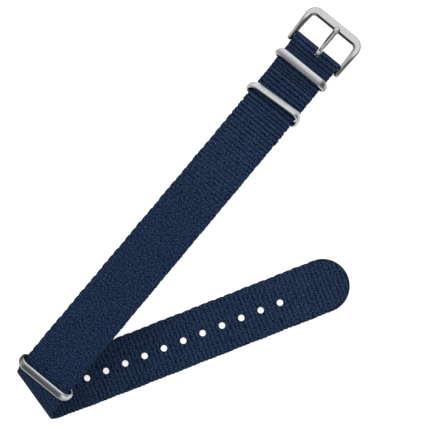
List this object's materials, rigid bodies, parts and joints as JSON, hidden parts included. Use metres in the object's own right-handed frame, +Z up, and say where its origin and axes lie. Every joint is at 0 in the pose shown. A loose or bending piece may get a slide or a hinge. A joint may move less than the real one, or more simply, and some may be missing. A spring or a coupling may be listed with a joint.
{
  "type": "fabric watch strap",
  "caption": "Pull-through woven watch strap laid out with one fold: pin buckle with tongue and spring bar, sewn-in steel keepers and a round punched tip.",
  "frame": {"origin": "bottom centre of the bounding box; the table is at Z = 0", "axes": "+X along the main strand towards the buckle, +Y across the main strand away from the tail, +Z up from the table"},
  "size_m": [0.18, 0.0788, 0.0286],
  "materials": {
    "webbing": "ribbed weave, navy",
    "hardware": "satin",
    "pin_steel": "drawn"
  },
  "bodies": {
    "webbing": {"long_band": "webbing", "short_band": "webbing"},
    "buckle": {"buckle_frame": "hardware", "spring_bar_tube": "pin_steel", "spring_bar_spring": "pin_steel"},
    "tongue": {"buckle_tongue": "hardware"},
    "tip_left": {"spring_bar_tip_left": "pin_steel"},
    "tip_right": {"spring_bar_tip_right": "pin_steel"},
    "front_keeper": {"front_keeper": "hardware"},
    "middle_keeper": {"middle_keeper": "hardware"},
    "end_keeper": {"end_keeper": "hardware"}
  },
  "joints": [
    {"name": "buckle_hinge", "type": "hinge", "parent": "webbing", "child": "buckle", "pos_m": [0.07617, 0.02708, 0.002], "axis": [0, -1, 0], "range_deg": [0, 55]},
    {"name": "tongue_hinge", "type": "hinge", "parent": "buckle", "child": "tongue", "pos_m": [0.07617, 0.02708, 0.002], "axis": [0, -1, 0], "range_deg": [0, 40]},
    {"name": "tip_left_slide", "type": "slide", "parent": "buckle", "child": "tip_left", "axis": [0, -1, 0], "range_m": [0, 0.0011], "stiffness_N_per_m": 500, "springref_m": -0.0008, "deforming": ["spring_bar_spring"]},
    {"name": "tip_right_slide", "type": "slide", "parent": "buckle", "child": "tip_right", "axis": [0, 1, 0], "range_m": [0, 0.0011], "stiffness_N_per_m": 500, "springref_m": -0.0008, "deforming": ["spring_bar_spring"]},
    {"name": "front_keeper_swing", "type": "hinge", "parent": "webbing", "child": "front_keeper", "pos_m": [0.06697, 0.02708, 0.00263], "axis": [0, 1, 0], "range_deg": [-46, 30]},
    {"name": "middle_keeper_swing", "type": "hinge", "parent": "webbing", "child": "middle_keeper", "pos_m": [0.04957, 0.02708, 0.00263], "axis": [0, 1, 0], "range_deg": [-76, 0]},
    {"name": "end_keeper_swing", "type": "hinge", "parent": "webbing", "child": "end_keeper", "pos_m": [-0.07802, 0.02708, 0.02298], "axis": [0, 1, 0], "range_deg": [0, 35]}
  ]
}
